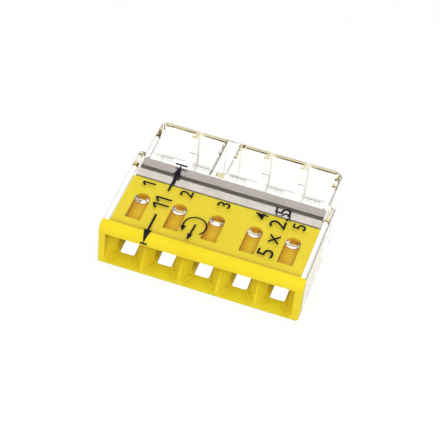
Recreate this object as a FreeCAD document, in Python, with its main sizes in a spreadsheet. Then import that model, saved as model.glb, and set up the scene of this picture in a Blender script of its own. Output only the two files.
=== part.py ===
import FreeCAD, Part

import math
import os

import Sketcher
from FreeCAD import Placement, Rotation, Vector

# Five-way push-in wire connector: a clear housing, an entry insert that plugs into its open front,
# and between them a folded busbar and a clamping spring with one tongue for each way.
# +X runs along the row of ways, +Y is the way a wire is pushed in, +Z is up.
# Every piece is drawn with Y = 0 at the front face; its Placement then moves the row's bottom centre
# to the origin.

doc = FreeCAD.newDocument("PushInConnector")
sheet = doc.addObject("Spreadsheet::Sheet", "Size")

sizes = {
    # row of ways
    "ways": 5,
    "pitch": 3.88,
    "end_margin": 0.65,
    "body_height": 5.0,
    "body_depth": 16.4,
    # clear housing
    "metal_depth": 2.9,
    "shoulder_wall": 0.45,
    "block_inset": 0.65,
    "side_wall": 0.6,
    "roof_wall": 0.5,
    "floor_wall": 0.3,
    "rear_wall": 0.45,
    "divider_wall": 0.8,
    "divider_height": 2.1,
    "post_depth": 0.6,
    "seat_step": 0.35,
    "shoulder_radius": 0.4,
    "rear_radius": 0.7,
    "edge_radius": 0.25,
    "notch_after_way": 2,
    "notch_width": 1.25,
    "notch_wall": 0.35,
    "notch_web": 0.3,
    "peg_diameter": 1.45,
    "peg_front": 0.1,
    "peg_rear": 0.65,
    "rib_width": 1.8,
    "rib_thickness": 0.2,
    "rib_height": 0.25,
    "rib_setback": 0.1,
    # entry insert
    "fit_gap": 0.05,
    "flange_depth": 1.1,
    "brow_radius": 0.9,
    "flange_radius": 0.25,
    "insert_depth": 8.05,
    "mouth_bottom": 0.15,
    "mouth_top": 4.05,
    "mouth_radius": 0.4,
    "flare_depth": 1.4,
    "hall_width": 2.1,
    "hall_bottom": 0.6,
    "hall_top": 3.35,
    "hall_radius": 0.5,
    "web_foot": 0.6,
    "web_setback": 1.8,
    "web_nose": 0.15,
    "web_taper": 1.2,
    "guide_start": 6.05,
    "guide_diameter": 2.0,
    "groove_width": 1.55,
    "groove_depth": 0.75,
    "groove_front": 2.4,
    "groove_rear": 5.25,
    "slot_width": 1.55,
    "slot_front": 1.4,
    "slot_rear": 3.4,
    "slot_radius": 0.2,
    # busbar and clamping spring
    "metal_gap": 0.05,
    "metal_side_gap": 0.2,
    "bar_thickness": 0.4,
    "bar_fold_radius": 0.3,
    "bar_top_depth": 1.1,
    "bar_window_width": 2.3,
    "bar_window_height": 2.3,
    "bar_window_radius": 0.4,
    "spring_thickness": 0.25,
    "bend_radius": 0.5,
    "riser_gap": 0.1,
    "spring_rear_gap": 0.1,
    "curl_width": 2.3,
    "tongue_width": 1.7,
    "tongue_reach": 1.4,
    "tongue_thickness": 0.2,
    "tongue_bevel": 0.15,
    "knuckle_gap": 0.03,
    "rest_gap": 0.03,
}
for row, (alias, number) in enumerate(sizes.items(), start=1):
    sheet.set("A%d" % row, alias)
    sheet.set("B%d" % row, str(number))
    sheet.setAlias("B%d" % row, alias)
doc.recompute()

# Lengths that several pieces share, as expressions on the sheet
bodyWidth = "(Size.ways * Size.pitch + 2 * Size.end_margin)"
firstWay = "(-(Size.ways - 1) / 2 * Size.pitch)"
cavityHalf = "(%s / 2 - Size.side_wall)" % bodyWidth
blockHalf = "(%s / 2 - Size.block_inset)" % bodyWidth
cavityDepth = "(Size.insert_depth + Size.metal_depth)"
shoulderDepth = "(%s + Size.shoulder_wall)" % cavityDepth
roofInside = "(Size.body_height - Size.roof_wall)"
insertBottom = "(Size.floor_wall + Size.fit_gap)"
insertTop = "(%s - Size.fit_gap)" % roofInside
notchMiddle = "((Size.notch_after_way - Size.ways / 2) * Size.pitch)"
notchLeft = "(%s - Size.notch_width / 2)" % notchMiddle
notchRight = "(%s + Size.notch_width / 2)" % notchMiddle
metalHalf = "(%s - Size.metal_side_gap)" % cavityHalf
metalTop = "(%s - Size.metal_gap)" % roofInside
metalRear = "(%s - Size.spring_rear_gap)" % cavityDepth
barFront = "(Size.insert_depth + Size.fit_gap + Size.metal_gap)"
barBottom = "(Size.floor_wall + Size.seat_step + Size.metal_gap)"
contactTop = "(%s + Size.bar_thickness)" % barBottom
wireHeight = "(%s + Size.guide_diameter / 2)" % contactTop
barUnderside = "(%s - Size.bar_thickness)" % metalTop
curlTop = "(%s - Size.metal_gap)" % barUnderside
hingeDepth = "(%s + Size.bar_thickness + Size.metal_gap + Size.bend_radius)" % barFront
hingeHeight = "(%s - Size.bend_radius)" % curlTop


def value_of(expression):
    result = sheet.evalExpression(str(expression))
    return float(getattr(result, "Value", result))


def new_body(name):
    body = doc.addObject("PartDesign::Body", name)
    body.Label = name
    body.setExpression("Placement.Base.y", "-Size.body_depth / 2")
    return body


def origin_feature(body, role):
    return [feature for feature in body.Origin.OriginFeatures if feature.Role == role][0]


def new_sketch(body, name, role, offset="0"):
    """A sketch on one of the body's own origin planes, moved along the plane's normal by offset."""
    sketch = body.newObject("Sketcher::SketchObject", name)
    sketch.AttachmentSupport = [(origin_feature(body, role), "")]
    sketch.MapMode = "FlatFace"
    sketch.setExpression("AttachmentOffset.Base.z", offset)
    return sketch


def pin_point(sketch, geometry, point, across, up):
    """Hold one point of the sketch at (across, up), both expressions on the sheet."""
    for kind, expression in (("DistanceX", across), ("DistanceY", up)):
        index = sketch.addConstraint(
            Sketcher.Constraint(kind, -1, 1, geometry, point, value_of(expression))
        )
        sketch.setExpression("Constraints[%d]" % index, str(expression))


def add_outline(sketch, corners, arcs=None):
    """A closed outline. arcs maps a side's number to (radius, through point), all expressions."""
    arcs = arcs or {}
    first = sketch.GeometryCount
    points = [Vector(value_of(across), value_of(up), 0) for across, up in corners]
    count = len(corners)
    ends = []
    for side in range(count):
        start, end = points[side], points[(side + 1) % count]
        edge, turns_left = Part.LineSegment(start, end), True
        if side in arcs:
            through = Vector(value_of(arcs[side][1]), value_of(arcs[side][2]), 0)
            edge, turns_left = arc_through(start, through, end)
        sketch.addGeometry(edge, False)
        ends.append((1, 2) if turns_left else (2, 1))
    for side in range(count):
        after = (side + 1) % count
        sketch.addConstraint(
            Sketcher.Constraint(
                "Coincident", first + side, ends[side][1], first + after, ends[after][0]
            )
        )
    for side in range(count):
        pin_point(sketch, first + side, ends[side][0], *corners[side])
    for side, (radius, _, _) in arcs.items():
        index = sketch.addConstraint(Sketcher.Constraint("Radius", first + side, value_of(radius)))
        sketch.setExpression("Constraints[%d]" % index, radius)


def arc_through(start, through, end):
    """An arc that runs counterclockwise, as sketches keep them, and whether start is its first end."""
    guide = Part.Arc(start, through, end).toShape().Curve
    centre, turns_left = guide.Center, guide.Axis.z > 0
    low, high = (start, end) if turns_left else (end, start)
    angles = [math.atan2(point.y - centre.y, point.x - centre.x) for point in (low, high)]
    if angles[1] < angles[0]:
        angles[1] += 2 * math.pi
    circle = Part.Circle(centre, Vector(0, 0, 1), guide.Radius)
    return Part.ArcOfCircle(circle, angles[0], angles[1]), turns_left


def add_box(sketch, left, right, bottom, top):
    add_outline(sketch, [(left, bottom), (right, bottom), (right, top), (left, top)])


def add_rounded_box(sketch, middle, width, bottom, top, radius):
    left, right = "(%s - %s / 2)" % (middle, width), "(%s + %s / 2)" % (middle, width)
    inset = "(%s * (1 - sqrt(0.5)))" % radius
    corners = [
        (left + " + " + radius, bottom), (right + " - " + radius, bottom),
        (right, bottom + " + " + radius), (right, top + " - " + radius),
        (right + " - " + radius, top), (left + " + " + radius, top),
        (left, top + " - " + radius), (left, bottom + " + " + radius),
    ]
    arcs = {
        1: (radius, right + " - " + inset, bottom + " + " + inset),
        3: (radius, right + " - " + inset, top + " - " + inset),
        5: (radius, left + " + " + inset, top + " - " + inset),
        7: (radius, left + " + " + inset, bottom + " + " + inset),
    }
    add_outline(sketch, corners, arcs)


def add_circle(sketch, across, up, diameter):
    centre = Vector(value_of(across), value_of(up), 0)
    circle = Part.Circle(centre, Vector(0, 0, 1), value_of(diameter) / 2)
    geometry = sketch.addGeometry(circle, False)
    pin_point(sketch, geometry, 3, across, up)
    index = sketch.addConstraint(Sketcher.Constraint("Diameter", geometry, value_of(diameter)))
    sketch.setExpression("Constraints[%d]" % index, diameter)


def add_pad(body, name, sketch, length, symmetric=False, down=False):
    pad = body.newObject("PartDesign::Pad", name)
    pad.Profile = sketch
    pad.setExpression("Length", length)
    if symmetric:
        pad.SideType = "Symmetric"
    pad.Reversed = down
    doc.recompute()
    return pad


def add_pocket(body, name, sketch, length=None, symmetric=False, reverse=False, towards=None):
    """A pocket that runs the given length, or through all, and is checked to take material away.

    towards is a slanting direction, as its (y, z) expressions; the length is still along z."""
    before = body.Shape.Volume
    pocket = body.newObject("PartDesign::Pocket", name)
    pocket.Profile = sketch
    if symmetric:
        pocket.SideType = "Symmetric"
    if length is None:
        pocket.Type = "ThroughAll"
    else:
        pocket.setExpression("Length", length)
    if towards is not None:
        pocket.UseCustomVector = True
        pocket.Direction = Vector(0, 0, 1)
        pocket.setExpression("Direction.y", towards[0])
        pocket.setExpression("Direction.z", towards[1])
    pocket.Reversed = reverse
    doc.recompute()
    if not pocket.Shape.Volume < before:
        raise RuntimeError("%s cuts nothing" % name)
    return pocket


def repeat_along_row(body, name, features, count, step):
    pattern = body.newObject("PartDesign::LinearPattern", name)
    pattern.Originals = features
    pattern.Direction = (origin_feature(body, "X_Axis"), [""])
    pattern.Mode = "Spacing"
    pattern.setExpression("Offset", step)
    pattern.setExpression("Occurrences", count)
    body.Tip = pattern
    doc.recompute()
    return pattern


def round_edges(body, name, radius, wanted):
    """Fillet the edges of the body's tip that the wanted test picks out."""
    base = body.Tip
    names = ["Edge%d" % (i + 1) for i, edge in enumerate(base.Shape.Edges) if wanted(edge)]
    fillet = body.newObject("PartDesign::Fillet", name)
    fillet.Base = (base, names)
    fillet.setExpression("Radius", radius)
    doc.recompute()
    return fillet


def near(first, second):
    return abs(first - second) < 1e-4


def edge_lies(edge, **levels):
    """True where the whole edge lies at the given x, y or z."""
    box = edge.BoundBox
    for axis, level in levels.items():
        low, high = getattr(box, axis.upper() + "Min"), getattr(box, axis.upper() + "Max")
        if not (near(low, level) and near(high, level)):
            return False
    return True


def make_clear_housing():
    """One clear moulding: open at the front, stepped in at the rear, with a pocket for each wire's end."""
    body = new_body("clear_housing")
    half = "(%s / 2)" % bodyWidth
    corner = "(%s * (1 - sqrt(0.5)))"

    outer = new_sketch(body, "HousingOutline", "XY_Plane")
    shoulder, rear = "Size.shoulder_radius", "Size.rear_radius"
    add_outline(
        outer,
        [
            ("-" + half, "Size.flange_depth"), (half, "Size.flange_depth"),
            (half, shoulderDepth + " - " + shoulder),
            (half + " - " + shoulder, shoulderDepth),
            (blockHalf, shoulderDepth),
            (blockHalf, "Size.body_depth - " + rear),
            (blockHalf + " - " + rear, "Size.body_depth"),
            ("-" + blockHalf + " + " + rear, "Size.body_depth"),
            ("-" + blockHalf, "Size.body_depth - " + rear),
            ("-" + blockHalf, shoulderDepth),
            ("-" + half + " + " + shoulder, shoulderDepth),
            ("-" + half, shoulderDepth + " - " + shoulder),
        ],
        {
            2: (shoulder, half + " - " + corner % shoulder, shoulderDepth + " - " + corner % shoulder),
            5: (rear, blockHalf + " - " + corner % rear, "Size.body_depth - " + corner % rear),
            7: (rear, "-" + blockHalf + " + " + corner % rear, "Size.body_depth - " + corner % rear),
            10: (shoulder, "-" + half + " + " + corner % shoulder,
                 shoulderDepth + " - " + corner % shoulder),
        },
    )
    add_pad(body, "HousingBlock", outer, "Size.body_height")
    top, front = value_of("Size.body_height"), value_of("Size.flange_depth")
    offset = -value_of("Size.body_depth") / 2

    def is_rim(edge):
        level = edge_lies(edge, z=top) or edge_lies(edge, z=0)
        return level and not edge_lies(edge, y=front) and not edge_lies(edge, y=front + offset)

    round_edges(body, "HousingRim", "Size.edge_radius", is_rim)

    cavity = new_sketch(body, "InsertCavityOutline", "XZ_Plane")
    add_box(cavity, "-" + cavityHalf, cavityHalf, "Size.floor_wall", roofInside)
    add_pocket(body, "InsertCavity", cavity, "Size.insert_depth + Size.fit_gap")

    metal = new_sketch(body, "MetalCavityOutline", "XZ_Plane")
    add_box(metal, "-" + cavityHalf, cavityHalf, "Size.floor_wall + Size.seat_step", roofInside)
    add_pocket(body, "MetalCavity", metal, cavityDepth)

    pockets = new_sketch(body, "WirePocketOutlines", "XZ_Plane")
    for way in range(1, sizes["ways"] + 1):
        left, right = pocket_sides(way)
        add_box(pockets, left, right, "Size.floor_wall", roofInside)
    add_pocket(body, "WirePockets", pockets, "Size.body_depth - Size.rear_wall")

    # the dividers stay low, with a post up to the roof where each meets the rear wall
    last_left_way = sizes["notch_after_way"]
    tops = new_sketch(body, "DividerTopOutlines", "XZ_Plane")
    for first, last in ((1, last_left_way), (last_left_way + 1, sizes["ways"])):
        add_box(
            tops, pocket_sides(first)[0], pocket_sides(last)[1],
            "Size.floor_wall + Size.divider_height", roofInside,
        )
    add_pocket(body, "DividerTops", tops, "Size.body_depth - Size.rear_wall - Size.post_depth")

    notch = new_sketch(body, "NotchOutline", "XY_Plane")
    add_box(notch, notchLeft, notchRight, shoulderDepth, "Size.body_depth - Size.notch_web")
    add_pocket(body, "Notch", notch, "Size.body_height", reverse=True)
    notch_sides = (value_of(notchLeft), value_of(notchRight))

    def is_notch_rim(edge):
        level = edge_lies(edge, z=top) or edge_lies(edge, z=0)
        return level and any(edge_lies(edge, x=side) for side in notch_sides)

    round_edges(body, "NotchRim", "Size.edge_radius", is_notch_rim)

    # the peg snaps into the insert's groove: its underside is a ramp that is thin at the front
    peg = new_sketch(body, "PegOutline", "XY_Plane", roofInside)
    add_circle(peg, firstWay, "Size.groove_rear", "Size.peg_diameter")
    add_pad(body, "Peg", peg, "Size.peg_rear", down=True)
    ramp = new_sketch(body, "PegRampProfile", "YZ_Plane", firstWay)
    ramp_front = "(Size.groove_rear - Size.peg_diameter / 2)"
    ramp_rear = "(Size.groove_rear + Size.peg_diameter / 2)"
    add_outline(
        ramp,
        [(ramp_front, roofInside + " - Size.peg_front"), (ramp_front, roofInside + " - Size.peg_rear"),
         (ramp_rear, roofInside + " - Size.peg_rear")],
    )
    add_pocket(body, "PegRamp", ramp, "Size.peg_diameter", symmetric=True)
    rib = new_sketch(body, "RibOutline", "XY_Plane", roofInside)
    rib_front = shoulderDepth + " + Size.rib_setback"
    add_box(
        rib, firstWay + " - Size.rib_width / 2", firstWay + " + Size.rib_width / 2",
        rib_front, rib_front + " + Size.rib_thickness",
    )
    add_pad(body, "Rib", rib, "Size.rib_height", down=True)
    parts = [doc.getObject(name) for name in ("Peg", "PegRamp", "Rib")]
    repeat_along_row(body, "PegsAndRibs", parts, "Size.ways", "Size.pitch")
    return body


def pocket_sides(way):
    """Left and right wall of one wire pocket: a divider, the notch or the block's outer wall."""
    boundary = "((%d - Size.ways / 2) * Size.pitch)"
    left = boundary % (way - 1) + " + Size.divider_wall / 2"
    right = boundary % way + " - Size.divider_wall / 2"
    if way == 1:
        left = "-%s + Size.side_wall" % blockHalf
    if way == sizes["ways"]:
        right = "%s - Size.side_wall" % blockHalf
    if way == sizes["notch_after_way"]:
        right = "%s - Size.notch_wall" % notchLeft
    if way == sizes["notch_after_way"] + 1:
        left = "%s + Size.notch_wall" % notchRight
    return left, right


def make_entry_insert():
    """The coloured insert: front flange, one funnel and wire guide for each way, grooves on top."""
    body = new_body("entry_insert")
    brow, height = "Size.brow_radius", "Size.body_height"

    flange = new_sketch(body, "FlangeProfile", "YZ_Plane")
    add_outline(
        flange,
        [("0", "0"), ("Size.flange_depth", "0"), ("Size.flange_depth", height), (brow, height),
         ("0", height + " - " + brow)],
        {3: (brow, brow + " * (1 - sqrt(0.5))", height + " - " + brow + " * (1 - sqrt(0.5))")},
    )
    add_pad(body, "Flange", flange, bodyWidth, symmetric=True)
    half = value_of(bodyWidth) / 2
    offset = -value_of("Size.body_depth") / 2

    def is_outer_corner(edge):
        low_or_front = edge_lies(edge, y=0) or edge_lies(edge, y=offset) or edge_lies(edge, z=0)
        return low_or_front and (edge_lies(edge, x=half) or edge_lies(edge, x=-half))

    round_edges(body, "FlangeCorners", "Size.flange_radius", is_outer_corner)

    block = new_sketch(body, "BlockOutline", "XY_Plane", insertBottom)
    add_box(
        block, "-%s + Size.fit_gap" % cavityHalf, "%s - Size.fit_gap" % cavityHalf,
        "Size.flange_depth", "Size.insert_depth",
    )
    add_pad(body, "Block", block, "%s - %s" % (insertTop, insertBottom))

    # between the mouths the webs lean back under the brow
    mouth_width = "(Size.pitch - Size.web_nose)"
    recess = new_sketch(body, "WebRecessProfile", "YZ_Plane")
    add_outline(
        recess,
        [("0", "Size.web_foot"), ("Size.web_setback", "Size.hall_top"),
         ("Size.flare_depth", "Size.hall_top"), ("0", "Size.mouth_top")],
    )
    recess_width = "(Size.ways - 1) * Size.pitch + " + mouth_width
    add_pocket(body, "WebRecess", recess, recess_width, symmetric=True)

    # each web is a wedge whose narrow nose follows that lean
    wedge = new_sketch(body, "WebWedgeOutline", "XY_Plane", "Size.web_foot")
    add_outline(
        wedge,
        [("%s - %s / 2" % (firstWay, mouth_width), "0"), ("%s + %s / 2" % (firstWay, mouth_width), "0"),
         (firstWay + " + Size.hall_width / 2", "Size.web_taper"),
         (firstWay + " - Size.hall_width / 2", "Size.web_taper")],
    )
    lean = ("Size.web_setback", "(Size.hall_top - Size.web_foot)")
    wedges = add_pocket(body, "WebWedge", wedge, lean[1], towards=lean)

    mouth = new_sketch(body, "MouthOutline", "XZ_Plane")
    add_rounded_box(
        mouth, firstWay, mouth_width, "Size.mouth_bottom", "Size.mouth_top", "Size.mouth_radius"
    )
    hall = new_sketch(body, "HallOutline", "XZ_Plane", "-Size.flare_depth")
    add_rounded_box(
        hall, firstWay, "Size.hall_width", "Size.hall_bottom", "Size.hall_top", "Size.hall_radius"
    )
    lead = new_sketch(body, "LeadOutline", "XZ_Plane", "-Size.guide_start")
    add_rounded_box(
        lead, firstWay, "Size.guide_diameter", "(%s - Size.guide_diameter / 2)" % wireHeight,
        "(%s + Size.guide_diameter / 2)" % wireHeight, "(Size.guide_diameter * 0.45)",
    )
    funnel = add_loft_cut(body, "Funnel", mouth, hall)
    taper = add_loft_cut(body, "Taper", hall, lead)

    guide_outline = new_sketch(body, "GuideOutline", "XZ_Plane")
    add_circle(guide_outline, firstWay, wireHeight, "Size.guide_diameter")
    guide = add_pocket(body, "Guide", guide_outline, "Size.insert_depth")

    groove_outline = new_sketch(body, "GrooveOutline", "XY_Plane", insertTop)
    left = firstWay + " - Size.groove_width / 2"
    right = firstWay + " + Size.groove_width / 2"
    round_end = "Size.groove_width / 2"
    diagonal = round_end + " * sqrt(0.5)"
    add_outline(
        groove_outline,
        [(left, "Size.groove_front"), (right, "Size.groove_front"), (right, "Size.groove_rear"),
         (firstWay, "Size.groove_rear + " + round_end), (left, "Size.groove_rear")],
        {
            2: (round_end, firstWay + " + " + diagonal, "Size.groove_rear + " + diagonal),
            3: (round_end, firstWay + " - " + diagonal, "Size.groove_rear + " + diagonal),
        },
    )
    groove = add_pocket(body, "Groove", groove_outline, "Size.groove_depth")

    slot_outline = new_sketch(body, "SlotOutline", "XY_Plane", wireHeight)
    add_rounded_box(
        slot_outline, firstWay, "Size.slot_width", "Size.slot_front", "Size.slot_rear", "Size.slot_radius"
    )
    slot = add_pocket(body, "Slot", slot_outline, wireHeight)
    repeat_along_row(
        body, "Ways", [wedges, funnel, taper, guide, groove, slot], "Size.ways", "Size.pitch"
    )
    return body


def add_loft_cut(body, name, first_sketch, last_sketch):
    loft = body.newObject("PartDesign::SubtractiveLoft", name)
    loft.Profile = first_sketch
    loft.Sections = [last_sketch]
    loft.Ruled = True
    doc.recompute()
    return loft


def make_busbar():
    """Folded tinned copper: contact floor, front wall with a window for each wire, and top plate."""
    body = new_body("busbar")
    inner = "(%s + Size.bar_thickness)" % barFront
    lip = "(%s + Size.bar_top_depth)" % barFront
    profile = new_sketch(body, "BarProfile", "YZ_Plane")
    add_outline(
        profile,
        [(barFront, barBottom), (metalRear, barBottom), (metalRear, contactTop), (inner, contactTop),
         (inner, barUnderside), (lip, barUnderside), (lip, metalTop), (barFront, metalTop)],
    )
    add_pad(body, "Bar", profile, "2 * " + metalHalf, symmetric=True)
    front = value_of(barFront)
    offset = -value_of("Size.body_depth") / 2
    levels = (value_of(barBottom), value_of(metalTop))

    def is_fold(edge):
        at_front = edge_lies(edge, y=front) or edge_lies(edge, y=front + offset)
        return at_front and any(edge_lies(edge, z=level) for level in levels)

    round_edges(body, "Folds", "Size.bar_fold_radius", is_fold)
    # each window starts level with the contact floor, so that a wire slides on without a step
    outline = new_sketch(body, "WireWindowOutline", "XZ_Plane")
    add_rounded_box(
        outline, firstWay, "Size.bar_window_width", contactTop,
        "(%s + Size.bar_window_height)" % contactTop, "Size.bar_window_radius",
    )
    window = add_pocket(body, "WireWindow", outline, inner)
    repeat_along_row(body, "WireWindows", [window], "Size.ways", "Size.pitch")
    return body


def make_spring_strip():
    """The spring's base: a flat strip at the rear that steps down under the busbar and curls back."""
    body = new_body("spring_strip")
    thick, bend = "Size.spring_thickness", "Size.bend_radius"
    low = "(%s + Size.bar_top_depth + Size.riser_gap)" % barFront
    rise = "(%s - %s)" % (metalTop, curlTop)
    skew = "(%s * tan(22.5))" % thick
    inner = "(%s - %s)" % (bend, thick)
    # the curl runs from the top of the bend round its front and stops 20 degrees short of its bottom
    end_across, end_up = "cos(250)", "sin(250)"
    profile = new_sketch(body, "StripProfile", "YZ_Plane")
    add_outline(
        profile,
        [
            (metalRear, metalTop),
            (low + " + " + rise, metalTop),
            (low, curlTop),
            (hingeDepth, curlTop),
            ("%s + %s * %s" % (hingeDepth, bend, end_across), "%s + %s * %s" % (hingeHeight, bend, end_up)),
            ("%s + %s * %s" % (hingeDepth, inner, end_across), "%s + %s * %s" % (hingeHeight, inner, end_up)),
            (hingeDepth, curlTop + " - " + thick),
            (low + " + " + skew, curlTop + " - " + thick),
            (low + " + " + rise + " + " + skew, metalTop + " - " + thick),
            (metalRear, metalTop + " - " + thick),
        ],
        {
            3: (bend, "%s - %s" % (hingeDepth, bend), hingeHeight),
            5: (inner, "%s - %s" % (hingeDepth, inner), hingeHeight),
        },
    )
    add_pad(body, "Strip", profile, "2 * " + metalHalf, symmetric=True)
    # the gaps between the curls are centred on the boundaries between ways, one at each end too
    gap = "(Size.pitch - Size.curl_width)"
    first_boundary = "(-Size.ways / 2 * Size.pitch)"
    gap_outline = new_sketch(body, "CurlGapOutline", "XY_Plane")
    add_box(
        gap_outline, "%s - %s / 2" % (first_boundary, gap), "%s + %s / 2" % (first_boundary, gap),
        barFront, hingeDepth,
    )
    cut = add_pocket(body, "CurlGap", gap_outline, "Size.body_height", reverse=True)
    repeat_along_row(body, "CurlGaps", [cut], "Size.ways + 1", "Size.pitch")
    return body


def make_spring_tongue(way):
    """One clamping tongue, drawn level behind its knuckle and then tipped down onto the busbar."""
    body = new_body("spring_tongue_%d" % way)
    thick = "Size.tongue_thickness"
    knuckle = "(Size.bend_radius - Size.spring_thickness - Size.knuckle_gap)"
    root = "sqrt(%s ^ 2 - (%s / 2) ^ 2)" % (knuckle, thick)
    drop = "(%s - %s - Size.rest_gap)" % (hingeHeight, contactTop)
    length = "sqrt(Size.tongue_reach ^ 2 + %s ^ 2 - (%s / 2) ^ 2)" % (drop, thick)
    profile = new_sketch(body, "TongueProfile%d" % way, "YZ_Plane")
    add_outline(
        profile,
        [(root, "-%s / 2" % thick), (length, "-%s / 2" % thick),
         (length + " - Size.tongue_bevel", thick + " / 2"), (root, thick + " / 2")],
        {3: (knuckle, "-" + knuckle, "0")},
    )
    add_pad(body, "Tongue%d" % way, profile, "Size.tongue_width", symmetric=True)
    tip_down = "atan(%s / Size.tongue_reach) - atan(%s / 2 / %s)" % (drop, thick, length)
    body.Placement = Placement(Vector(0, 0, 0), Rotation(Vector(1, 0, 0), -value_of(tip_down)))
    body.setExpression("Placement.Base.x", "%s + %d * Size.pitch" % (firstWay, way - 1))
    body.setExpression("Placement.Base.y", "%s - Size.body_depth / 2" % hingeDepth)
    body.setExpression("Placement.Base.z", hingeHeight)
    body.setExpression("Placement.Rotation.Angle", "-(%s)" % tip_down)
    return body


pieces = [make_clear_housing(), make_entry_insert(), make_busbar(), make_spring_strip()]
for way in range(1, sizes["ways"] + 1):
    pieces.append(make_spring_tongue(way))
doc.recompute()

for item in doc.Objects:
    if "Invalid" in item.State or "Error" in item.State:
        raise RuntimeError("%s did not build: %s" % (item.Label, item.State))
for piece in pieces:
    if piece.Shape.isNull() or not piece.Shape.isValid():
        raise RuntimeError("%s has no valid shape" % piece.Label)

os.makedirs("parts", exist_ok=True)
for piece in pieces:
    piece.Shape.exportStep("parts/%s.step" % piece.Label)
    box = piece.Shape.BoundBox
    print(
        "%-16s %d solid  %8.3f mm3  X %.2f..%.2f  Y %.2f..%.2f  Z %.2f..%.2f"
        % (piece.Label, len(piece.Shape.Solids), piece.Shape.Volume,
           box.XMin, box.XMax, box.YMin, box.YMax, box.ZMin, box.ZMax)
    )
print("hinge at depth %.4f, height %.4f" % (value_of(hingeDepth), value_of(hingeHeight)))
print("wire height %.4f, contact %.4f" % (value_of(wireHeight), value_of(contactTop)))
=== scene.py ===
import math

import bmesh
import bpy
from mathutils import Matrix, Vector


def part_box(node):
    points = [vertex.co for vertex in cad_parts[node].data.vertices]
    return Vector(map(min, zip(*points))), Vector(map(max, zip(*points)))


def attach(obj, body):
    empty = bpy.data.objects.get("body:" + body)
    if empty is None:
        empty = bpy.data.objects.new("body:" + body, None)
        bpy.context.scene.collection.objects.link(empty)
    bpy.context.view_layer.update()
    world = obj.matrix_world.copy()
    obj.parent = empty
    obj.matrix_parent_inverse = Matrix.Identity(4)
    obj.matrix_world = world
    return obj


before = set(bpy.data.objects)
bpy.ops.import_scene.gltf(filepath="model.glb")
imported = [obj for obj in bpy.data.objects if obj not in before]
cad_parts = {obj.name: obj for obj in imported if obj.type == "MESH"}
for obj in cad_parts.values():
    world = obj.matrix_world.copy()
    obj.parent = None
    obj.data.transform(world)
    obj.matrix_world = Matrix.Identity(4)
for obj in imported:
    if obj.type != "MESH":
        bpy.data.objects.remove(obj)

# Five-way push-in wire connector: clear moulded housing, yellow entry insert, tinned busbar and spring.
# The solids come from model.glb; this file gives them their finishes and adds the black pad print.

mm = 0.001
scene = bpy.context.scene
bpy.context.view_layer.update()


# sRGB hex to the linear RGBA that sockets take
def linearColour(hexCode):
    values = []
    for start in (1, 3, 5):
        level = int(hexCode[start:start + 2], 16) / 255
        values.append(level / 12.92 if level <= 0.04045 else ((level + 0.055) / 1.055) ** 2.4)
    return (*values, 1.0)


# a node with its settings; a socket's value is a plain one or another node's output
def addNode(tree, kind, sockets=None, **settings):
    node = tree.nodes.new(kind)
    for key, value in settings.items():
        setattr(node, key, value)
    for key, value in (sockets or {}).items():
        if isinstance(value, bpy.types.NodeSocket):
            tree.links.new(value, node.inputs[key])
        else:
            node.inputs[key].default_value = value
    return node


def newMaterial(name):
    material = bpy.data.materials.new(name)
    material.use_nodes = True
    material.node_tree.nodes.clear()
    return material, material.node_tree


# cloudy noise over the piece's own coordinates, each feature about sizeMm across
def grain(tree, sizeMm, stretch=(1, 1, 1), detail=2.0):
    place = addNode(tree, "ShaderNodeTexCoord")
    squeezed = addNode(tree, "ShaderNodeMapping", {"Vector": place.outputs["Object"], "Scale": stretch})
    return addNode(
        tree, "ShaderNodeTexNoise",
        {"Vector": squeezed.outputs[0], "Scale": 1 / (sizeMm * mm), "Detail": detail},
    ).outputs["Fac"]


# two tones of one finish, laid out by a pattern
def twoTone(tree, pattern, low, high, lowAt=0.35, highAt=0.65):
    share = addNode(
        tree, "ShaderNodeMapRange", {"Value": pattern, "From Min": lowAt, "From Max": highAt}
    )
    return addNode(
        tree, "ShaderNodeMix",
        {0: share.outputs[0], 6: linearColour(low), 7: linearColour(high)}, data_type="RGBA",
    ).outputs[2]


clearMoulding = {
    "tint": "#FFFFFE",
    "ior": 1.585,  # polycarbonate
    "roughness": 0.02,
    "swirlMm": 3.0,
    "swirlDepthMm": 0.012,
    "swirlStrength": 0.6,
    "scuffMm": 0.25,  # a real hairline is finer; it is drawn this coarse to show
    "scuffStretch": (1, 0.15, 1),
    "scuffDepthMm": 0.0012,
    "scuffStrength": 0.4,
    "depthTint": "#DFDAA8",
    "depthDensity": 5.0,  # per metre, so that only a wall seen along its length takes on the tint
}


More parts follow.
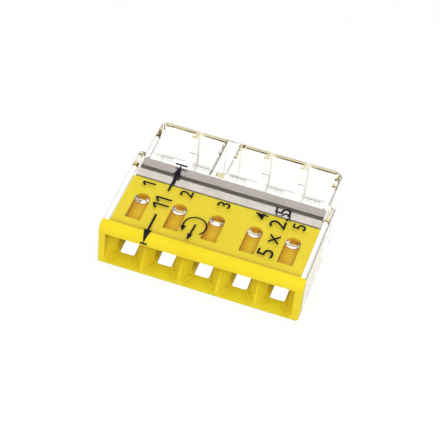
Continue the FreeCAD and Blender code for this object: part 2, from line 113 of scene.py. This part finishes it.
def polishedPolycarbonate():
    # clear polycarbonate from a polished mould: glassy, with a faint flow swirl and hairline scuffs
    # that break up the reflections
    look = clearMoulding
    material, tree = newMaterial("polished clear polycarbonate")
    swirl = addNode(
        tree, "ShaderNodeBump",
        {"Height": grain(tree, look["swirlMm"]), "Strength": look["swirlStrength"],
         "Distance": look["swirlDepthMm"] * mm},
    )
    scuffs = addNode(
        tree, "ShaderNodeBump",
        {"Height": grain(tree, look["scuffMm"], look["scuffStretch"]), "Strength": look["scuffStrength"],
         "Distance": look["scuffDepthMm"] * mm, "Normal": swirl.outputs[0]},
    )
    body = addNode(
        tree, "ShaderNodeBsdfPrincipled",
        {"Base Color": linearColour(look["tint"]), "Roughness": look["roughness"], "IOR": look["ior"],
         "Transmission Weight": 1.0, "Normal": scuffs.outputs[0]},
    )
    # lamps and room light pass straight through, so that nothing inside goes dark
    rays = addNode(tree, "ShaderNodeLightPath")
    lighting = addNode(
        tree, "ShaderNodeMath",
        {0: rays.outputs["Is Shadow Ray"], 1: rays.outputs["Is Diffuse Ray"]}, operation="MAXIMUM",
    )
    through = addNode(tree, "ShaderNodeBsdfTransparent")
    mixed = addNode(
        tree, "ShaderNodeMixShader", {0: lighting.outputs[0], 1: body.outputs[0], 2: through.outputs[0]}
    )
    depth = addNode(
        tree, "ShaderNodeVolumeAbsorption",
        {"Color": linearColour(look["depthTint"]), "Density": look["depthDensity"]},
    )
    addNode(
        tree, "ShaderNodeOutputMaterial", {"Surface": mixed.outputs[0], "Volume": depth.outputs[0]}
    )
    return material


yellowInsert = {
    "body": "#EEDA30",
    "flow": "#EAD22A",
    "flowMm": 5.0,
    "flowStretch": (1, 0.5, 1),
    "ior": 1.53,  # polyamide
    "roughness": 0.38,
    "gloss": 0.1,
    "textureMm": 0.12,  # a real spark-eroded grain is finer; it is drawn this coarse to show
    "textureDetail": 3.0,
    "textureDepthMm": 0.004,
    "textureStrength": 0.5,
    "glow": 0.4,
    "glowMm": (0.8, 0.5, 0.1),  # how far red, green and blue travel in it
    # painted shade: the deeper gold laid into the insert's hollows
    "hollow": "#D2A206",
    "hollowReachMm": 1.6,
    "hollowFrom": 0.92,  # openness where the hollow's tone begins, and where it is full
    "hollowTo": 0.6,
    "hollowSamples": 16,
}


def mouldedPolyamide():
    # dyed polyamide with a fine spark-eroded mould texture: soft satin gloss, faint flow clouds,
    # a little light carried inside thin walls, and painted shade that turns its hollows deeper gold
    look = yellowInsert
    material, tree = newMaterial("satin moulded yellow polyamide")
    clouds = grain(tree, look["flowMm"], look["flowStretch"])
    colour = twoTone(tree, clouds, look["flow"], look["body"])
    texture = addNode(
        tree, "ShaderNodeBump",
        {"Height": grain(tree, look["textureMm"], detail=look["textureDetail"]),
         "Strength": look["textureStrength"], "Distance": look["textureDepthMm"] * mm},
    )
    # painted shade: where the piece's own ambient occlusion finds a hollow, the colour turns a deeper
    # gold, standing in for the light passed from one yellow wall to the next
    openness = addNode(
        tree, "ShaderNodeAmbientOcclusion", {"Distance": look["hollowReachMm"] * mm},
        only_local=True, samples=look["hollowSamples"],
    )
    depth = addNode(
        tree, "ShaderNodeMapRange",
        {"Value": openness.outputs["AO"], "From Min": look["hollowFrom"], "From Max": look["hollowTo"]},
    )
    paintedHollowShade = addNode(
        tree, "ShaderNodeMix", {0: depth.outputs[0], 6: colour, 7: linearColour(look["hollow"])},
        data_type="RGBA",
    )
    body = addNode(
        tree, "ShaderNodeBsdfPrincipled",
        {"Base Color": paintedHollowShade.outputs[2], "Roughness": look["roughness"], "IOR": look["ior"],
         "Specular IOR Level": look["gloss"], "Subsurface Weight": look["glow"],
         "Subsurface Radius": [reach * mm for reach in look["glowMm"]], "Subsurface Scale": 1.0,
         "Normal": texture.outputs[0]},
    )
    addNode(tree, "ShaderNodeOutputMaterial", {"Surface": body.outputs[0]})
    return material


tinnedBar = {
    "bright": "#F8F1E9",
    "dull": "#ECE4DB",
    "bloomMm": 1.2,
    "roughness": 0.24,
    "dipMm": 0.35,
    "dipStretch": (0.4, 1, 1),
    "dipDepthMm": 0.002,
    "dipStrength": 0.5,
}


def tinPlatedCopper():
    # hot-tinned copper strip: pale warm metal with cloudy bloom and a softly rippled coat
    look = tinnedBar
    material, tree = newMaterial("hot tinned copper strip")
    colour = twoTone(tree, grain(tree, look["bloomMm"]), look["dull"], look["bright"])
    ripple = addNode(
        tree, "ShaderNodeBump",
        {"Height": grain(tree, look["dipMm"], look["dipStretch"]), "Strength": look["dipStrength"],
         "Distance": look["dipDepthMm"] * mm},
    )
    body = addNode(
        tree, "ShaderNodeBsdfPrincipled",
        {"Base Color": colour, "Metallic": 1.0, "Roughness": look["roughness"],
         "Normal": ripple.outputs[0]},
    )
    addNode(tree, "ShaderNodeOutputMaterial", {"Surface": body.outputs[0]})
    return material


rolledSpring = {
    "bright": "#E0D7D1",
    "dark": "#CDC4BE",
    "roughness": 0.36,
    "anisotropy": 0.4,
    "rollMm": 0.08,  # real rolling lines are finer; they are drawn this coarse to show
    "rollStretch": (0.04, 1, 1),
    "rollDepthMm": 0.0012,
    "rollStrength": 0.4,
}


def rolledSpringSteel():
    # cold-rolled stainless strip: greyer than the tin, with fine rolling lines along the row
    look = rolledSpring
    material, tree = newMaterial("cold rolled stainless spring strip")
    lines = grain(tree, look["rollMm"], look["rollStretch"])
    grooves = addNode(
        tree, "ShaderNodeBump",
        {"Height": lines, "Strength": look["rollStrength"], "Distance": look["rollDepthMm"] * mm},
    )
    body = addNode(
        tree, "ShaderNodeBsdfPrincipled",
        {"Base Color": twoTone(tree, lines, look["dark"], look["bright"]), "Metallic": 1.0,
         "Roughness": look["roughness"], "Anisotropic": look["anisotropy"],
         "Normal": grooves.outputs[0]},
    )
    addNode(tree, "ShaderNodeOutputMaterial", {"Surface": body.outputs[0]})
    return material


padPrint = {
    "ink": "#17141A",
    "thin": "#262229",
    "thinFrom": 0.45,
    "thinFull": 0.75,
    "patchMm": 0.4,
    "roughness": 0.5,
    "thicknessMm": 0.008,
}


def padPrintInk():
    # pad-printed ink: flat black, a touch thinner in patches where the pad lifted
    look = padPrint
    material, tree = newMaterial("black pad print ink")
    patches = grain(tree, look["patchMm"])
    colour = twoTone(tree, patches, look["ink"], look["thin"], look["thinFrom"], look["thinFull"])
    body = addNode(
        tree, "ShaderNodeBsdfPrincipled", {"Base Color": colour, "Roughness": look["roughness"]}
    )
    addNode(tree, "ShaderNodeOutputMaterial", {"Surface": body.outputs[0]})
    return material


finishes = {
    "clear_housing": polishedPolycarbonate(),
    "entry_insert": mouldedPolyamide(),
    "busbar": tinPlatedCopper(),
    "spring_strip": rolledSpringSteel(),
}
for name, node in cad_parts.items():
    # the tongues are cut from the spring strip
    finish = finishes.get(name, finishes["spring_strip"])
    for place in node.material_slots:
        place.material = finish
print("finishes set on", len(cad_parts), "solids")


# Print on the roof. Its places are in millimetres: across the row, and back from the front face.
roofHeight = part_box("clear_housing")[1][2]
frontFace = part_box("entry_insert")[0][1]
browRadius = 0.9  # the insert's round upper front edge
tongues = sorted(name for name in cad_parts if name.startswith("spring_tongue_"))
wayCentres = [sum(corner[0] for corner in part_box(name)) / 2 / mm for name in tongues]
pitch = wayCentres[1] - wayCentres[0]
inkFinish = padPrintInk()
inkHeight = padPrint["thicknessMm"]


# a place on the roof, lifted off it; what would hang over the front follows the round brow down
def onRoof(x, y, lift):
    bent = max(0, browRadius - y) / browRadius
    back = y + browRadius * bent - (browRadius + lift) * math.sin(bent)
    drop = browRadius - (browRadius + lift) * math.cos(bent)
    return Vector((x * mm, frontFace + back * mm, roofHeight - drop * mm))


# a finished print, which moves with the housing
def setPrint(name, mesh):
    mesh.materials.append(inkFinish)
    piece = bpy.data.objects.new(name, mesh)
    scene.collection.objects.link(piece)
    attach(piece, "housing")


# bands of ink, each between a left and a right rail of places on the roof, as one thin print
def printBands(name, bands):
    shape = bmesh.new()
    for rails in bands:
        rows = [
            [shape.verts.new(onRoof(*place, lift))
             for place, lift in ((left, 0), (left, inkHeight), (right, inkHeight), (right, 0))]
            for left, right in zip(*rails)
        ]
        for row, after in zip(rows, rows[1:]):
            for i in range(4):
                shape.faces.new((row[i], row[i - 1], after[i - 1], after[i]))
        shape.faces.new(rows[0])
        shape.faces.new(list(reversed(rows[-1])))
    # an arrowhead's two rails meet at its tip
    bmesh.ops.remove_doubles(shape, verts=shape.verts, dist=inkHeight * mm / 10)
    bmesh.ops.recalc_face_normals(shape, faces=shape.faces)
    mesh = bpy.data.meshes.new(name)
    shape.to_mesh(mesh)
    shape.free()
    setPrint(name, mesh)


# plain characters centred on a place, read from the right-hand side
def printText(name, words, middle, height, stretch=1.0, weight=0.0):
    capShare = 0.7  # a capital's share of the font size
    curve = bpy.data.curves.new(name, "FONT")
    curve.body = words
    curve.align_x = "CENTER"
    curve.align_y = "CENTER"
    curve.size = height * mm / capShare
    curve.offset = weight * mm
    curve.extrude = inkHeight * mm / 2
    holder = bpy.data.objects.new(name, curve)
    scene.collection.objects.link(holder)
    bpy.context.view_layer.update()
    mesh = bpy.data.meshes.new_from_object(holder)
    bpy.data.objects.remove(holder)
    low, high = ([end(v.co[i] for v in mesh.vertices) for i in range(2)] for end in (min, max))
    centre = Vector(((low[0] + high[0]) / 2, (low[1] + high[1]) / 2, 0))
    mesh.transform(
        Matrix.Translation(onRoof(*middle, inkHeight / 2)) @ Matrix.Rotation(math.radians(90), 4, "Z")
        @ Matrix.Diagonal((stretch, 1, 1, 1)) @ Matrix.Translation(-centre)
    )
    setPrint(name, mesh)


# a straight stroke; with a start width of its own it tapers
def bar(start, end, width, startWidth=None, steps=1):
    first, last = Vector(start), Vector(end)
    side = (last - first).orthogonal().normalized() / 2
    tip = width if startWidth is None else startWidth
    rails = ([], [])
    for i in range(steps + 1):
        share = i / steps
        place = first.lerp(last, share)
        reach = side * (tip + (width - tip) * share)
        rails[0].append(tuple(place + reach))
        rails[1].append(tuple(place - reach))
    return rails


# a solid head from its tip back towards a place, in steps that bend over the brow
def arrowhead(tip, towards, length, width):
    back = (Vector(towards) - Vector(tip)).normalized()
    return bar(tip, tuple(Vector(tip) + back * length), width, startWidth=0.0, steps=12)


# part of a ring
def arcBand(middle, radius, width, startDeg, endDeg, steps=48):
    angles = [math.radians(startDeg + (endDeg - startDeg) * i / steps) for i in range(steps + 1)]
    return [
        [(middle[0] + reach * math.cos(a), middle[1] + reach * math.sin(a)) for a in angles]
        for reach in (radius + width / 2, radius - width / 2)
    ]


# the figure one: its upright lies along the row, and its flag falls to the front
def figureOne(middle, height, stroke):
    x, y = middle
    head = (x - height / 2, y)
    flag = (head[0] + 0.25 * height, y - 0.36 * height)
    return [bar(head, (x + height / 2, y), stroke), bar(head, flag, stroke)]


stripGauge = {
    "across": wayCentres[0] + pitch / 2 + 0.12,  # between ways 1 and 2
    "rearBar": 10.9,
    "rearBarWidth": 1.25,
    "rearShaft": 6.95,
    "frontShaft": 3.55,
    "frontBar": -0.3,  # below zero lies down the brow
    "frontBarWidth": 0.7,
    "numberRear": 5.83,
    "numberFront": 4.94,
    "numberHeight": 1.6,
    "stroke": 0.22,
    "headLength": 1.6,
    "headWidth": 0.8,
    "headOverlap": 0.1,
}


def printStripGauge():
    look = stripGauge
    x, stroke, head = look["across"], look["stroke"], look["headLength"]
    parts = []
    for end, width, shaft, inwards in (
        ("rearBar", "rearBarWidth", "rearShaft", -1), ("frontBar", "frontBarWidth", "frontShaft", 1)
    ):
        y, half = look[end], look[width] / 2
        shaftStart = y + inwards * (head - look["headOverlap"])
        parts.append(bar((x - half, y), (x + half, y), stroke))
        parts.append(arrowhead((x, y), (x, y + inwards), head, look["headWidth"]))
        parts.append(bar((x, shaftStart), (x, look[shaft]), stroke))
    for y in (look["numberRear"], look["numberFront"]):
        parts += figureOne((x, y), look["numberHeight"], stroke)
    printBands("strip_gauge_print", parts)


twistSign = {
    "centre": (-1.7, 3.5),
    "radius": 1.14,
    "stroke": 0.17,
    "arcFrom": -50,  # degrees
    "arcTo": 215,
    # the next places count from the ring's centre
    "turnTip": (-1.0, -1.1),
    "turnTowards": (-1.1, 0.5),
    "turnHead": (0.75, 0.6),  # length and width
    "pullTip": (-0.15, -2.07),
    "pullTowards": (0.0, 0.13),
    "pullHead": (0.9, 0.55),
    "pullShaft": ((0.0, 0.23), (-0.08, -1.17)),
    "pullStroke": 0.2,
}


def printTwistSign():
    look = twistSign
    centre = Vector(look["centre"])
    turnTip, turnTowards, pullTip, pullTowards, shaftStart, shaftEnd = (
        tuple(centre + Vector(place))
        for place in (look["turnTip"], look["turnTowards"], look["pullTip"], look["pullTowards"],
                      *look["pullShaft"])
    )
    printBands(
        "twist_release_sign_print",
        [
            arcBand(look["centre"], look["radius"], look["stroke"], look["arcFrom"], look["arcTo"]),
            arrowhead(turnTip, turnTowards, *look["turnHead"]),
            bar(shaftStart, shaftEnd, look["pullStroke"]),
            arrowhead(pullTip, pullTowards, *look["pullHead"]),
        ],
    )


wireSize = {
    "words": "5 x 2,5",
    "across": wayCentres[3] + pitch / 2,  # between ways 4 and 5
    "back": 5.75,
    "height": 1.62,
    "stretch": 1.12,
}


def printWireSize():
    look = wireSize
    middle = (look["across"], look["back"])
    printText("wire_size_print", look["words"], middle, look["height"], stretch=look["stretch"])


wayNumbers = {"back": 7.3, "height": 1.3, "oneStroke": 0.2, "weight": 0.015}


def printWayNumbers():
    look = wayNumbers
    for way, x in enumerate(wayCentres, start=1):
        name = "way_number_%d_print" % way
        middle = (x, look["back"])
        if way == 1:
            printBands(name, figureOne(middle, look["height"], look["oneStroke"]))
        else:
            printText(name, str(way), middle, look["height"], weight=look["weight"])


printStripGauge()
printTwistSign()
printWireSize()
printWayNumbers()
print("print laid on the roof")


# Stage: pale floor, white room, soft lamps, camera
tableTop = {
    "colour": "#F4F4F3",
    "size": 1.2,
    "below": 0.02 * mm,
    "whiteShare": 0.86,  # how far the eye sees it as white; the rest keeps the object's shadow
}


# 1 where nothing matt lies between the eye and what it sees, so that the white lights no piece
def firstSight(tree, rays):
    return addNode(
        tree, "ShaderNodeMath", {0: rays.outputs["Diffuse Depth"], 1: 0.5}, operation="LESS_THAN"
    ).outputs[0]


def layPaleFloor():
    look = tableTop
    material, tree = newMaterial("pale floor")
    rays = addNode(tree, "ShaderNodeLightPath")
    mirrored = addNode(
        tree, "ShaderNodeMath",
        {0: rays.outputs["Is Glossy Ray"], 1: rays.outputs["Is Transmission Ray"]}, operation="MAXIMUM",
    )
    direct = addNode(
        tree, "ShaderNodeMath", {0: rays.outputs["Is Camera Ray"], 1: look["whiteShare"]},
        operation="MULTIPLY",
    )
    either = addNode(
        tree, "ShaderNodeMath", {0: mirrored.outputs[0], 1: direct.outputs[0]}, operation="MAXIMUM"
    )
    whiteness = addNode(
        tree, "ShaderNodeMath", {0: either.outputs[0], 1: firstSight(tree, rays)}, operation="MULTIPLY"
    )
    matt = addNode(tree, "ShaderNodeBsdfDiffuse", {"Color": linearColour(look["colour"])})
    white = addNode(tree, "ShaderNodeEmission", {"Strength": 1.0})
    mixed = addNode(
        tree, "ShaderNodeMixShader", {0: whiteness.outputs[0], 1: matt.outputs[0], 2: white.outputs[0]}
    )
    addNode(tree, "ShaderNodeOutputMaterial", {"Surface": mixed.outputs[0]})
    half = look["size"] / 2
    mesh = bpy.data.meshes.new("floor")
    mesh.from_pydata(
        [(-half, -half, 0), (half, -half, 0), (half, half, 0), (-half, half, 0)], [], [(0, 1, 2, 3)]
    )
    mesh.materials.append(material)
    floor = bpy.data.objects.new("floor", mesh)
    scene.collection.objects.link(floor)
    floor.location.z = -look["below"]
    floor.visible_transmission = False  # the clear walls show the room's own pale ground instead


# limits count along a unit direction: upwards for ground, walls and ceiling, backwards for the rest
whiteRoom = {
    "domeStrength": 0.57,  # the light on matt surfaces
    "wallShade": 0.5,  # the walls are darker than ground and ceiling
    "wallTop": 0.15,
    "ceilingFrom": 0.5,
    "wallFoot": -0.4,
    "groundFrom": -0.62,
    "groundGlow": 1.18,  # over 1, because each clear wall on the way turns part of it aside
    "roofMirrors": 0.2,  # the ceiling's share in the clear roof's reflections
    "roofCrossings": 2.5,  # a reflection in the roof enters and leaves it at most once
    "frontFrom": -0.15,
    "frontFull": -0.45,
    "metalMirrors": 0.12,  # the share that reflections show of the upper front
    "tableTone": "#DED0A8",
    "tableFull": -0.2,
    "tableBounces": 2.0,
}


# how bright the room is in each direction
def roomShade(tree, rays, parts):
    look = whiteRoom
    # dark walls draw the edges of the clear housing
    ceiling = addNode(
        tree, "ShaderNodeMapRange",
        {"Value": parts.outputs["Z"], "From Min": look["wallTop"], "From Max": look["ceilingFrom"],
         "To Min": look["wallShade"], "To Max": 1.0},
    )
    ground = addNode(
        tree, "ShaderNodeMapRange",
        {"Value": parts.outputs["Z"], "From Min": look["wallFoot"], "From Max": look["groundFrom"],
         "To Min": look["wallShade"], "To Max": look["groundGlow"]},
    )
    plain = addNode(
        tree, "ShaderNodeMath", {0: ceiling.outputs[0], 1: ground.outputs[0]}, operation="MAXIMUM"
    )
    # both faces of the clear roof mirror only a part of the ceiling, which keeps the yellow deep
    reflected = addNode(
        tree, "ShaderNodeMath", {0: rays.outputs["Glossy Depth"], 1: 0.5}, operation="GREATER_THAN"
    )
    shallow = addNode(
        tree, "ShaderNodeMath",
        {0: rays.outputs["Transmission Depth"], 1: look["roofCrossings"]}, operation="LESS_THAN",
    )
    upwards = addNode(tree, "ShaderNodeMath", {0: parts.outputs["Z"], 1: 0.0}, operation="GREATER_THAN")
    above = addNode(
        tree, "ShaderNodeMath", {0: reflected.outputs[0], 1: upwards.outputs[0]}, operation="MULTIPLY"
    )
    inRoof = addNode(
        tree, "ShaderNodeMath", {0: above.outputs[0], 1: shallow.outputs[0]}, operation="MULTIPLY"
    )
    roofShare = addNode(
        tree, "ShaderNodeMapRange",
        {"Value": inRoof.outputs[0], "To Min": 1.0, "To Max": look["roofMirrors"]},
    )
    # metal that is turned to the upper front shows the dark there
    forwards = addNode(
        tree, "ShaderNodeMapRange",
        {"Value": parts.outputs["Y"], "From Min": look["frontFrom"], "From Max": look["frontFull"]},
    )
    atFront = addNode(
        tree, "ShaderNodeMath", {0: above.outputs[0], 1: forwards.outputs[0]}, operation="MULTIPLY"
    )
    frontShare = addNode(
        tree, "ShaderNodeMapRange",
        {"Value": atFront.outputs[0], "To Min": 1.0, "To Max": look["metalMirrors"]},
    )
    dimmed = addNode(
        tree, "ShaderNodeMath", {0: plain.outputs[0], 1: roofShare.outputs[0]}, operation="MULTIPLY"
    )
    dimmed = addNode(
        tree, "ShaderNodeMath", {0: dimmed.outputs[0], 1: frontShare.outputs[0]}, operation="MULTIPLY"
    )
    # straight ahead the room is plain white
    return addNode(
        tree, "ShaderNodeMath", {0: dimmed.outputs[0], 1: rays.outputs["Is Camera Ray"]},
        operation="MAXIMUM",
    ).outputs[0]


# light that was turned back inside the plastic comes from the warm table before the object
def roomTone(tree, rays, parts):
    look = whiteRoom
    before = addNode(
        tree, "ShaderNodeMapRange",
        {"Value": parts.outputs["Y"], "From Min": 0.0, "From Max": look["tableFull"]},
    )
    downwards = addNode(tree, "ShaderNodeMath", {0: parts.outputs["Z"], 1: 0.0}, operation="LESS_THAN")
    onTable = addNode(
        tree, "ShaderNodeMath", {0: before.outputs[0], 1: downwards.outputs[0]}, operation="MULTIPLY"
    )
    turnedBack = addNode(
        tree, "ShaderNodeMapRange",
        {"Value": rays.outputs["Glossy Depth"], "From Min": 0.0, "From Max": look["tableBounces"]},
    )
    warmth = addNode(
        tree, "ShaderNodeMath", {0: turnedBack.outputs[0], 1: onTable.outputs[0]}, operation="MULTIPLY"
    )
    return addNode(
        tree, "ShaderNodeMix",
        {0: warmth.outputs[0], 6: linearColour("#FFFFFF"), 7: linearColour(look["tableTone"])},
        data_type="RGBA",
    ).outputs[2]


def buildWhiteRoom():
    world = bpy.data.worlds.new("white studio")
    scene.world = world
    world.use_nodes = True
    tree = world.node_tree
    tree.nodes.clear()
    rays = addNode(tree, "ShaderNodeLightPath")
    towards = addNode(tree, "ShaderNodeTexCoord")
    parts = addNode(tree, "ShaderNodeSeparateXYZ", {0: towards.outputs["Generated"]})
    direct = addNode(
        tree, "ShaderNodeMath",
        {0: rays.outputs["Is Camera Ray"], 1: rays.outputs["Is Transmission Ray"]},
        operation="MAXIMUM",
    )
    seen = addNode(
        tree, "ShaderNodeMath", {0: direct.outputs[0], 1: rays.outputs["Is Glossy Ray"]},
        operation="MAXIMUM",
    )
    whiteness = addNode(
        tree, "ShaderNodeMath", {0: seen.outputs[0], 1: firstSight(tree, rays)}, operation="MULTIPLY"
    )
    dome = addNode(tree, "ShaderNodeBackground", {"Strength": whiteRoom["domeStrength"]})
    white = addNode(
        tree, "ShaderNodeBackground",
        {"Color": roomTone(tree, rays, parts), "Strength": roomShade(tree, rays, parts)},
    )
    mixed = addNode(
        tree, "ShaderNodeMixShader", {0: whiteness.outputs[0], 1: dome.outputs[0], 2: white.outputs[0]}
    )
    addNode(tree, "ShaderNodeOutputWorld", {"Surface": mixed.outputs[0]})
    # not sampled as a lamp: its light comes in with the rays that pass the clear walls
    world.cycles.sampling_method = "NONE"


# lamps light only matt surfaces, so that none shows as a spot in the clear walls; metres and watts
softboxes = {
    "ceiling softbox": {"place": (0.05, -0.02, 0.40), "size": 0.30, "power": 0.75},
    "front softbox": {"place": (0.06, -0.26, 0.30), "size": 0.25, "power": 0.57},
}


def hangSoftbox(name):
    look = softboxes[name]
    lamp = bpy.data.lights.new(name, "AREA")
    lamp.shape = "DISK"
    lamp.size = look["size"]
    lamp.energy = look["power"]
    lamp.cycles.use_multiple_importance_sampling = False  # counted once, by its shadow rays
    holder = bpy.data.objects.new(name, lamp)
    scene.collection.objects.link(holder)
    holder.location = look["place"]
    holder.rotation_euler = (-Vector(look["place"])).to_track_quat("-Z", "Y").to_euler()
    holder.visible_glossy = False
    holder.visible_transmission = False


viewpoint = {
    "azimuth": 14.21,
    "elevation": 46.07,
    "roll": 6.25,
    "distance": 165.3 * mm,
    "aim": (0.0, 0.15 * mm, 3.4 * mm),
    "slideRight": -0.614 * mm,
    "slideUp": -1.070 * mm,
    "lens": 136.5,
    "sensor": 36.0,
    "clipStart": 10 * mm,
}


def addCamera():
    look = viewpoint
    turn, lift, roll = (math.radians(look[key]) for key in ("azimuth", "elevation", "roll"))
    back = Vector((math.sin(turn) * math.cos(lift), -math.cos(turn) * math.cos(lift), math.sin(lift)))
    right = Vector((math.cos(turn), math.sin(turn), 0))
    up = back.cross(right)
    cameraRight = right * math.cos(roll) + up * math.sin(roll)
    cameraUp = up * math.cos(roll) - right * math.sin(roll)
    place = (
        Vector(look["aim"]) + back * look["distance"]
        + cameraRight * look["slideRight"] + cameraUp * look["slideUp"]
    )
    lens = bpy.data.cameras.new("camera")
    lens.lens = look["lens"]
    lens.sensor_width = look["sensor"]
    lens.clip_start = look["clipStart"]
    camera = bpy.data.objects.new("camera", lens)
    scene.collection.objects.link(camera)
    rotation = Matrix((cameraRight, cameraUp, back)).transposed().to_4x4()
    camera.matrix_world = Matrix.Translation(place) @ rotation
    scene.camera = camera


layPaleFloor()
buildWhiteRoom()
for name in softboxes:
    hangSoftbox(name)
addCamera()
scene.view_settings.view_transform = "Standard"
# what the eye sees lies behind many clear walls
wallBounces = 32
scene.cycles.max_bounces = wallBounces
scene.cycles.transmission_bounces = wallBounces
scene.cycles.glossy_bounces = wallBounces
scene.cycles.transparent_max_bounces = 2 * wallBounces
print("stage ready")
